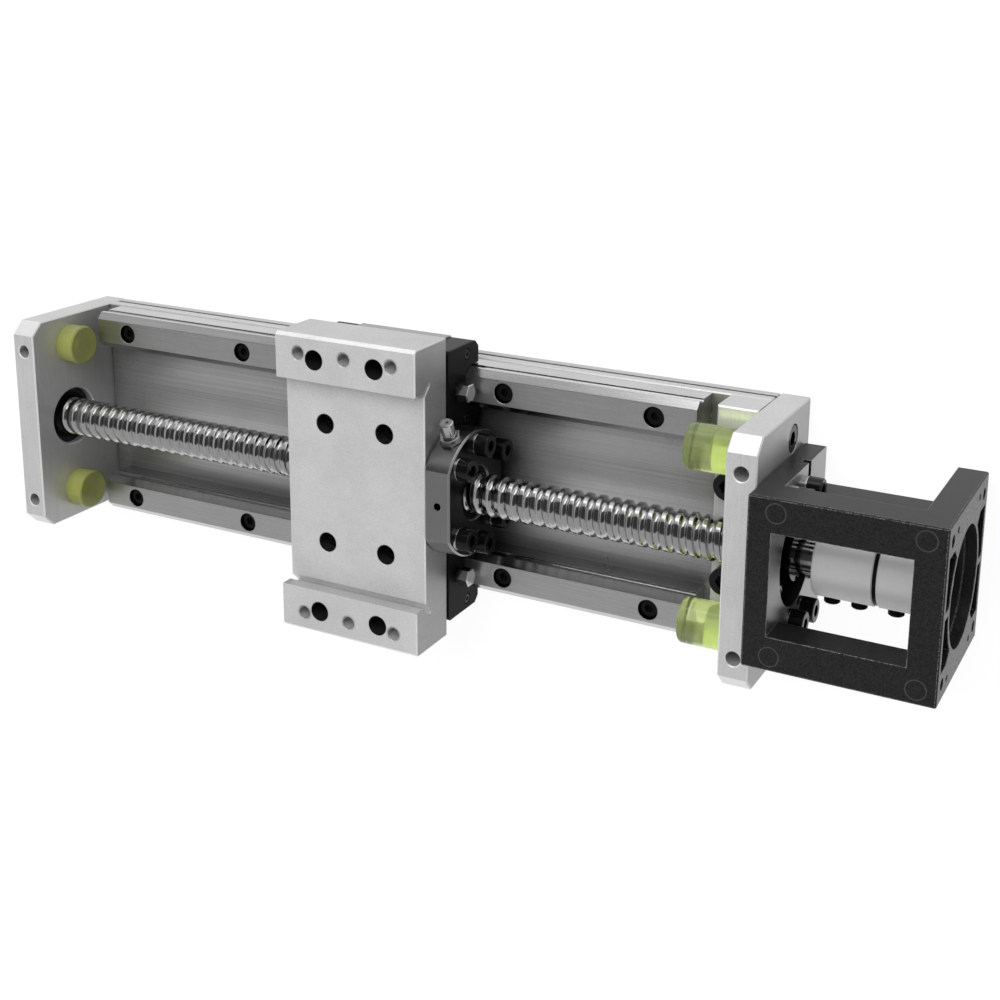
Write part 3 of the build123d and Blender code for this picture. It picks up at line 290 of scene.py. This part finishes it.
def finish(name, colour, metallic, roughness, density, line_tone=0.06, line_depth=0.00001,
           cloud_tone=0.06, speck_tone=0.03, edge_tone=1.3, edge_width=0.0003, painted_shade=0.0,
           shade_reach=0.004, holes=None, hole_shade=0.15, specular=0.5, flank_roughness=None,
           painted_face_light=()):
    """Material of a hard surface. Drawn lines of that density, clouds and specks vary its colour,
    edges are lighter, and painted shade darkens what lies sheltered in holes and corners. Holes that
    a group of its own picks out get darker painted shade still, and their mouths are broken. The
    flanks may have a roughness of their own. Each painted face light is (axis, the normal's part
    along it, tone): faces turned that way are painted lighter or darker, as painted light and shade."""
    material, tree = bare_material(name)
    lines = placed(tree, lines_group, {"Density": density})
    edges = placed(tree, edges_group, {"Width": edge_width})
    marks = placed(tree, marks_group)
    line_part = maths(tree, "MULTIPLY_ADD", lines.outputs[0], 2 * line_tone, 1 - line_tone)
    cloud_part = maths(tree, "MULTIPLY_ADD", marks.outputs["Clouds"], 2 * cloud_tone, -cloud_tone)
    speck_part = maths(tree, "MULTIPLY_ADD", marks.outputs["Specks"], 2 * speck_tone, -speck_tone)
    total = maths(tree, "ADD", maths(tree, "ADD", line_part, cloud_part), speck_part)
    bright = tuple(min(1.0, part * edge_tone) for part in colour) + (1,)
    surface = mixed_colour(tree, edges.outputs["Edge"], scaled(tree, colour, total), bright)
    # Painted shade: darker where ambient occlusion finds the place closed in.
    if painted_shade > 0:
        openness = new_node(tree, "ShaderNodeAmbientOcclusion", {"Distance": shade_reach}, samples=6)
        lit = ranged(tree, openness.outputs["AO"], painted_shade_range, (1 - painted_shade, 1.0))
        surface = scaled(tree, surface, lit)
    # Painted shade inside the holes that the group picks out.
    if holes:
        within = placed(tree, holes)
        sunk = ranged(tree, within.outputs["Inside"], (0.0, 1.0), (1.0, hole_shade))
        surface = scaled(tree, surface, sunk)
    if painted_face_light or flank_roughness is not None:
        facing = xyz(tree, "Normal")
    # Painted light and shade: faces turned one way made lighter or darker.
    for axis, part, face_tone in painted_face_light:
        turned = maths(tree, "COMPARE", facing[axis], part, same_way)
        surface = scaled(tree, surface, ranged(tree, turned, (0.0, 1.0), (1.0, face_tone)))
    rough = maths(tree, "MULTIPLY_ADD", marks.outputs["Clouds"], 2 * roughness_spread,
                  roughness - roughness_spread)
    if flank_roughness is not None:
        on_top = maths(tree, "GREATER_THAN", facing[2], upward)
        rough = mixed(tree, on_top, flank_roughness, rough)
    normal = bumped(tree, lines.outputs[0], line_depth, edges.outputs["Normal"])
    if holes:
        normal = bumped(tree, within.outputs["Mouth"], mouth_width, normal)
    shader = new_node(tree, "ShaderNodeBsdfPrincipled",
                      {"Base Color": surface, "Roughness": rough, "Metallic": metallic,
                       "Specular IOR Level": specular, "Normal": normal})
    new_node(tree, "ShaderNodeOutputMaterial", {"Surface": shader.outputs[0]})
    return material


def grey(tone):
    """Colour whose three parts are that tone."""
    return (tone, tone, tone)


def coat(material, *names):
    """That material on each of the named nodes."""
    for name in names:
        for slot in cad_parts[name].material_slots:
            slot.material = material


# Painted shade: ambient occlusion darkens the plate far out round the rails, blocks and nut.
base_finish = finish("drawn_aluminium", grey(0.80), 0.74, 0.29, (6, 1300, 1300), line_tone=0.34,
                     cloud_tone=0.12, speck_tone=0.06, painted_shade=0.9, shade_reach=0.05)
coat(base_finish, "base_plate")


# End plates and foot block: sawn and milled from aluminium bar, with broken edges. The idle plate is
# screwed to the end of the base, and the drive plate to the foot block, which stands between it and
# the base. The plates hold the bearings of the ball screw.
# Painted light and shade: faces turned to +X darker, chamfers and tops lighter, and painted shade in
# corners.
plate_finish = finish("milled_aluminium", grey(0.70), 0.50, 0.36, (1300, 60, 1300), line_tone=0.12,
                      cloud_tone=0.14, speck_tone=0.16, edge_tone=1.35, painted_shade=0.2, shade_reach=0.006,
                      painted_face_light=[(0, 1.0, 0.78), (2, slant, 1.42), (2, 1.0, 1.06)])
coat(plate_finish, "idle_end_plate", "drive_end_plate", "foot_block")


# Profile rails: hardened steel bars, ground lengthways on the top, flanks and shoulders. Each is
# held to the base by five bolts, sunk in holes whose walls are darkened with painted shade. The
# tops are painted lighter, a painted highlight.
def folded(tree, value, centre, half_pitch, repeat=None):
    """Distance of the value from the nearest of the places at centre plus or minus half_pitch."""
    if repeat:
        value = maths(tree, "WRAP", value, centre - repeat / 2, centre + repeat / 2)
    side = maths(tree, "ABSOLUTE", maths(tree, "SUBTRACT", value, centre))
    return maths(tree, "ABSOLUTE", maths(tree, "SUBTRACT", side, half_pitch))


def from_axis(tree, off_x, off_y):
    """Distance from a hole's axis, from the distances along X and Y."""
    off = new_node(tree, "ShaderNodeCombineXYZ", {0: off_x, 1: off_y})
    length = new_node(tree, "ShaderNodeVectorMath", {0: off.outputs[0]}, operation="LENGTH")
    return length.outputs["Value"]


def mouth(tree, distance, radius, width):
    """Height of the surface round a hole of that radius: 1 outside, falling at 45 degrees over
    its broken edge."""
    return ranged(tree, distance, (radius, radius + width), (1 - width / mouth_width, 1.0))


def hole_sockets(name):
    """Group that tells what lies inside the holes, where painted shade darkens them, and the height
    of their mouths.
    """
    group, _, result = new_group(
        name, [], [("Inside", "NodeSocketFloat"), ("Mouth", "NodeSocketFloat")])
    return group, result, xyz(group, "Object")


bolt_hole_radius = 0.00375
wall_margin = 0.0001
mouth_width = 0.0003
rail_bolt_spacing = 0.060
rail_low, rail_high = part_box("rail_left")
rail_y = (rail_low.y + rail_high.y) / 2
rail_holes, result, spot = hole_sockets("sunk_bolt_holes")
distance = from_axis(
    rail_holes,
    folded(rail_holes, spot[0], (rail_low.x + rail_high.x) / 2, 0.0, repeat=rail_bolt_spacing),
    folded(rail_holes, spot[1], 0.0, rail_y))
inside = maths(rail_holes, "LESS_THAN", distance, bolt_hole_radius + wall_margin)
rail_holes.links.new(inside, result.inputs["Inside"])
rail_holes.links.new(mouth(rail_holes, distance, bolt_hole_radius, mouth_width),
                     result.inputs["Mouth"])
# Painted shade in the bolt holes, and a painted highlight on the tops.
rail_finish = finish("ground_steel", grey(0.62), 1.0, 0.40, (40, 1800, 1800), line_tone=0.18,
                     line_depth=0.000004, cloud_tone=0.16, speck_tone=0.14, holes=rail_holes,
                     hole_shade=0.12, flank_roughness=0.17, painted_face_light=[(2, 1.0, 1.15)])
coat(rail_finish, "rail_left", "rail_right")


# Rail blocks: steel bodies that run on the rails, between black moulded end caps with rubber seals.
# Small screws hold the caps, and four bolts hold each block under the carriage.
block_finish = finish("block_steel", grey(0.40), 1.0, 0.30, (25, 2500, 2500))
coat(block_finish, "block_left", "block_right")
cap_finish = finish("black_plastic", (0.008, 0.008, 0.0085), 0.0, 0.24, (300, 300, 300),
                    line_tone=0.2, speck_tone=0.3, edge_tone=4.0, specular=0.06)
coat(cap_finish, "block_cap_drive_left", "block_cap_drive_right", "block_cap_idle_left",
     "block_cap_idle_right")
seal_finish = finish("black_rubber", grey(0.007), 0.0, 0.45, (300, 300, 300), line_tone=0.1,
                     speck_tone=0.2, specular=0.10)
coat(seal_finish, "block_seals", "bearing_seals", "nut_wipers")


# Carriage plate: milled aluminium, bead blasted and clear anodised, with a raised strip along each
# side and the housing of the nut under its middle. Eight bolts hold it on the rail blocks, and the
# smaller tapped holes in the strips take the load.
block_bolt_spacing = 0.026
load_hole_spacing, load_hole_y = 0.020, 0.0514
load_hole_radius, load_mouth_width = 0.0025, 0.0006
bolt_low, bolt_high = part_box("block_bolts")
carriage_middle = (bolt_low.x + bolt_high.x) / 2
plate_holes, result, spot = hole_sockets("block_bolt_holes")
from_middle = maths(plate_holes, "ABSOLUTE", spot[1])
distance = from_axis(
    plate_holes,
    folded(plate_holes, spot[0], carriage_middle, block_bolt_spacing / 2),
    folded(plate_holes, from_middle, rail_y, block_bolt_spacing / 2))
load_distance = from_axis(
    plate_holes,
    folded(plate_holes, spot[0], carriage_middle, 0.0, repeat=load_hole_spacing),
    maths(plate_holes, "SUBTRACT", from_middle, load_hole_y))
inside = maths(plate_holes, "LESS_THAN", distance, bolt_hole_radius + wall_margin)
both_mouths = maths(plate_holes, "MINIMUM",
                    mouth(plate_holes, distance, bolt_hole_radius, mouth_width),
                    mouth(plate_holes, load_distance, load_hole_radius, load_mouth_width))
plate_holes.links.new(inside, result.inputs["Inside"])
plate_holes.links.new(both_mouths, result.inputs["Mouth"])
# Painted light and shade: bolt holes darkened, faces turned to +X and +Y darker, chamfers lighter.
carriage_finish = finish("blasted_aluminium", grey(0.74), 0.45, 0.38, (900, 900, 120),
                         line_tone=0.08, speck_tone=0.22, cloud_tone=0.20, edge_tone=1.4,
                         holes=plate_holes, hole_shade=0.05,
                         painted_face_light=[(0, 1.0, 0.66), (1, 1.0, 0.85), (2, slant, 1.36)])
coat(carriage_finish, "carriage_plate")


# Ball nut: hardened steel, turned and ground, with a flange that has two flats. Six bolts hold the
# flange against the housing under the carriage. Its end face is painted nearly black, a painted
# shade, and painted shade darkens its sheltered corners.
nut_finish = finish("nut_steel", (0.34, 0.34, 0.345), 1.0, 0.30, (1200, 200, 200), line_tone=0.08,
                    cloud_tone=0.16, edge_tone=2.2, painted_shade=0.6, painted_face_light=[(0, 1.0, 0.12)])
coat(nut_finish, "ball_nut")


# Ball screw: ground steel shaft. A round groove for the balls winds round it, right-handed, 5 mm
# each turn. Its turned ends run in the bearings, and the coupling is clamped on the longer one.
def groove_radius(x, angle):
    """Radius of the threaded part in mm. The land is a cylinder, the groove part of a circle whose
    centre lies just outside the land, and the two meet in a small rounding: the smooth smaller one
    of the two radii."""
    along = np.mod(x - groove_phase - lead * angle / (2 * math.pi) + lead / 2, lead) - lead / 2
    groove = groove_centre - np.sqrt(np.clip(groove_ball ** 2 - along ** 2, 0, None))
    groove = np.where(np.abs(along) < groove_ball, groove, groove_centre + 1.0)
    share = np.clip(0.5 + 0.5 * (groove - land_radius) / groove_rounding, 0, 1)
    return (groove * (1 - share) + land_radius * share
            - groove_rounding * share * (1 - share))


def shaft_mesh(name, rows, around):
    """Closed shaft along X: a grid of rows along it by angles round it. Each row is (x, radius,
    threaded), and the first and last are closed by a point on the axis."""
    x = np.array([row[0] for row in rows])[:, None]
    radius = np.array([row[1] for row in rows])[:, None]
    threaded = np.array([row[2] for row in rows])[:, None]
    angle = np.linspace(0, 2 * math.pi, around, endpoint=False)[None, :]
    r = np.where(threaded, groove_radius(x, angle), radius)
    grid = [x + 0 * angle, r * np.cos(angle), axis_height + r * np.sin(angle)]
    points = np.stack(grid, axis=-1).reshape(-1, 3)
    ends = np.array([[rows[0][0], 0, axis_height], [rows[-1][0], 0, axis_height]])
    points = np.concatenate([points, ends]) / 1000
    count = len(rows)
    i, j = np.meshgrid(np.arange(count - 1), np.arange(around), indexing="ij")
    k = (j + 1) % around
    ring = i * around
    quads = np.stack([ring + around + j, ring + around + k, ring + k, ring + j], axis=-1)
    j = np.arange(around)
    k = (j + 1) % around
    last_ring = (count - 1) * around
    first = np.stack([np.full(around, count * around), j, k], axis=-1)
    last = np.stack([np.full(around, count * around + 1), last_ring + k, last_ring + j], axis=-1)
    mesh = bpy.data.meshes.new(name)
    mesh.from_pydata(points.tolist(), [],
                     quads.reshape(-1, 4).tolist() + first.tolist() + last.tolist())
    mesh.polygons.foreach_set("use_smooth", np.ones(len(mesh.polygons), dtype=bool))
    mesh.set_sharp_from_angle(angle=math.radians(sharp_degrees))
    mesh.update()
    return mesh


axis_height = 34.8
lead = 5.0
land_radius = 7.8
groove_ball = 1.65
groove_centre = 8.3
groove_rounding = 0.22
groove_phase = 0.2
steps_each_lead, steps_around = 30, 54
sharp_degrees = 50
seat_radius, collar_radius, coupling_radius, end_chamfer = 6.0, 7.25, 5.0, 0.5
screw_low, screw_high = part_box("ball_screw")
screw_start = screw_low.x * 1000
screw_end = screw_high.x * 1000
idle_shoulder, thread_end, drive_shoulder, coupling_step = -153.8, 145.0, 151.3, 177.2
thread_x = np.arange(idle_shoulder, thread_end, lead / steps_each_lead)
shaft_rows = [(screw_start, seat_radius - end_chamfer, False),
              (screw_start + end_chamfer, seat_radius, False),
              (idle_shoulder, seat_radius, False)]
shaft_rows += [(x, land_radius, True) for x in thread_x]
shaft_rows += [(thread_end, land_radius, True),
               (thread_end, collar_radius, False), (drive_shoulder, collar_radius, False),
               (drive_shoulder, seat_radius, False), (coupling_step, seat_radius, False),
               (coupling_step, coupling_radius, False),
               (screw_end - end_chamfer, coupling_radius, False),
               (screw_end, coupling_radius - end_chamfer, False)]
shaft = bpy.data.objects.new("threaded_shaft",
                             shaft_mesh("threaded_shaft", shaft_rows, steps_around))
bpy.context.scene.collection.objects.link(shaft)
screw_finish = finish("ground_screw_steel", grey(0.58), 1.0, 0.15, (1500, 60, 60), line_tone=0.05,
                      line_depth=0.000004, cloud_tone=0.03, edge_tone=1.1, edge_width=0.0001)
shaft.data.materials.append(screw_finish)
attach(shaft, "screw")
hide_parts("ball_screw")


# Bearings: ground steel rings in the bores of the end plates, coloured nearly black where they
# show, a painted shade, with more painted shade in their corners. A retaining ring holds the idle
# one on the screw. A cap and a lock nut hold the pair at the drive end.
bearing_shade_finish = finish("bearing_steel_painted_dark", grey(0.05), 1.0, 0.34, (600, 600, 600), edge_tone=1.6,
                        painted_shade=0.7)
coat(bearing_shade_finish, "idle_bearing_outer_ring", "idle_bearing_inner_ring",
     "drive_bearing_inside_outer_ring", "drive_bearing_inside_inner_ring",
     "drive_bearing_outside_outer_ring", "drive_bearing_outside_inner_ring")


# Coupling: two turned aluminium hubs with a plastic tenon disc between them. Screws clamp one hub
# on the end of the ball screw, and the other takes the motor's shaft.
# Painted shade in the hubs' sheltered corners.
hub_finish = finish("turned_aluminium", grey(0.82), 0.40, 0.50, (2500, 40, 40), line_tone=0.04,
                    line_depth=0.000002, painted_shade=0.6)
coat(hub_finish, "coupling_screw_hub", "coupling_motor_hub")
coat(cap_finish, "coupling_disc")


# Motor bracket: an aluminium casting, painted black, with worn bright edges, screwed to the drive
# end plate. The inside of its flange there was machined for the screws, and the mould's ejector
# pins left four rings on the front.
pin_radius, ring_width, ring_tone = 0.0033, 0.0003, 0.13
pin_from_plate, pin_from_motor, pin_from_side = 0.0094, 0.0066, 0.005
ragged_range, grain_range, grain_tones, grain_depth = (0.40, 0.58), (0.3, 0.7), (0.1, 3.0), 0.00006
flange_inside = 0.1694
hair = 0.00002
to_the_motor = 0.9
# The second colour is the motor face's lighter grey, a painted reflection.
black_paint, motor_face_reflection_grey, bare_metal = (0.008, 0.008, 0.0085), grey(0.14), (0.42, 0.42, 0.42, 1)
ring_group, given, result = new_group(
    "pin_ring",
    [("Centre", "NodeSocketVector", (0, 0, 0)), ("Radius", "NodeSocketFloat", pin_radius)],
    [("Ring", "NodeSocketFloat")])
offset = new_node(ring_group, "ShaderNodeVectorMath",
                  {0: own_place(ring_group), 1: given.outputs["Centre"]}, operation="DISTANCE")
gap = maths(ring_group, "SUBTRACT", offset.outputs["Value"], given.outputs["Radius"])
ring = ranged(ring_group, maths(ring_group, "ABSOLUTE", gap), (0.0, ring_width), (1.0, 0.0))
ring_group.links.new(ring, result.inputs["Ring"])

bracket_low, bracket_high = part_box("motor_bracket")
pins = [(x, y, bracket_high.z)
        for x in (bracket_low.x + pin_from_plate, bracket_high.x - pin_from_motor)
        for y in (bracket_low.y + pin_from_side, bracket_high.y - pin_from_side)]
bracket_paint, tree = bare_material("bracket_paint")
spot = xyz(tree, "Object")
facing = xyz(tree, "Normal")
edges = placed(tree, edges_group, {"Width": 0.0004})
marks = placed(tree, marks_group, {"Size": 60.0})
specks = marks.outputs["Specks"]
marked = maths(tree, "MULTIPLY", edges.outputs["Edge"], ranged(tree, specks, ragged_range))
for centre in pins:
    pin = placed(tree, ring_group, {"Centre": centre})
    marked = maths(tree, "MAXIMUM", marked,
                   maths(tree, "MULTIPLY", pin.outputs["Ring"], ring_tone))
grain = ranged(tree, specks, grain_range, grain_tones)
# Painted reflection: the motor face is coloured a lighter grey than the black paint.
at_motor = maths(tree, "GREATER_THAN", spot[0], bracket_high.x - hair)
ground = mixed_colour(tree, at_motor, scaled(tree, black_paint, grain),
                      scaled(tree, motor_face_reflection_grey, grain))
paint = mixed_colour(tree, marked, ground, bare_metal)
off_flange = maths(tree, "ABSOLUTE", maths(tree, "SUBTRACT", spot[0], flange_inside))
machined = maths(tree, "MULTIPLY", maths(tree, "LESS_THAN", off_flange, hair),
                 maths(tree, "GREATER_THAN", facing[0], to_the_motor))
skin = mixed_colour(tree, machined, paint, bare_metal)
normal = bumped(tree, specks, grain_depth, edges.outputs["Normal"], strength=0.6)
shader = new_node(tree, "ShaderNodeBsdfPrincipled",
                  {"Base Color": skin, "Roughness": mixed(tree, machined, 0.40, 0.36),
                   "Metallic": machined, "Specular IOR Level": 0.35, "Normal": normal})
new_node(tree, "ShaderNodeOutputMaterial", {"Surface": shader.outputs[0]})
coat(bracket_paint, "motor_bracket")


# Screws, lock nut, retaining ring and bearing cap: black oxide on steel. The bolts sunk in the
# rails and the carriage get a copy with dimmer edges and duller gloss, a painted shade. Bright
# split spring washers lie under the screws of the nut and of the bracket. The nut's grease nipple,
# the grease plugs in the blocks' end caps and the bumpers' studs are plated, with painted shade
# in their sheltered corners.
oxide_finish = finish("black_oxide", (0.004, 0.004, 0.0045), 0.0, 0.13, (400, 400, 400),
                      edge_tone=12.0, edge_width=0.0002, specular=0.3)
coat(oxide_finish, "nut_bolts", "foot_screws", "drive_plate_screws", "idle_plate_screws",
     "bracket_screws", "bearing_cap_screws", "coupling_screws", "cap_screws", "lock_nut",
     "retaining_ring", "bearing_cap")
# Painted shade: a dimmer copy of the black oxide for the bolts sunk in holes.
shaded_oxide_finish = finish("black_oxide_painted_shade", (0.004, 0.004, 0.0045), 0.0, 0.30, (400, 400, 400),
                     edge_tone=6.0, edge_width=0.0002, specular=0.15)
coat(shaded_oxide_finish, "rail_bolts", "block_bolts")
# Painted shade in the sheltered corners of the plated parts.
bright_finish = finish("plated_steel", grey(0.70), 1.0, 0.20, (300, 300, 300), painted_shade=0.6,
                       shade_reach=0.002)
coat(bright_finish, "bracket_washers", "nut_washers", "block_nipples", "nut_nipple",
     "bumper_studs")


# Bumpers: soft cast urethane cylinders, yellow-green, on studs screwed into the end plates. Those
# at the drive end are clear, and light goes into them. Those at the idle end are cloudy.
def urethane(name, pale, deep, clearness):
    """Material of a cast bumper: cloudy between the two colours, and clear to that share."""
    material, tree = bare_material(name)
    clouds = placed(tree, marks_group, {"Size": 150.0}).outputs["Clouds"]
    shader = new_node(tree, "ShaderNodeBsdfPrincipled",
                      {"Base Color": mixed_colour(tree, clouds, deep, pale),
                       "Roughness": ranged(tree, clouds, (0.3, 0.7), (0.03, 0.15)),
                       "IOR": 1.48, "Transmission Weight": clearness})
    new_node(tree, "ShaderNodeOutputMaterial", {"Surface": shader.outputs[0]})
    return material


coat(urethane("urethane", (0.78, 0.86, 0.42, 1), (0.52, 0.64, 0.20, 1), clearness=0.85),
     "bumper_drive_left", "bumper_drive_right")
coat(urethane("cloudy_urethane", (0.70, 0.74, 0.25, 1), (0.54, 0.59, 0.14, 1), clearness=0.55),
     "bumper_idle_left", "bumper_idle_right")
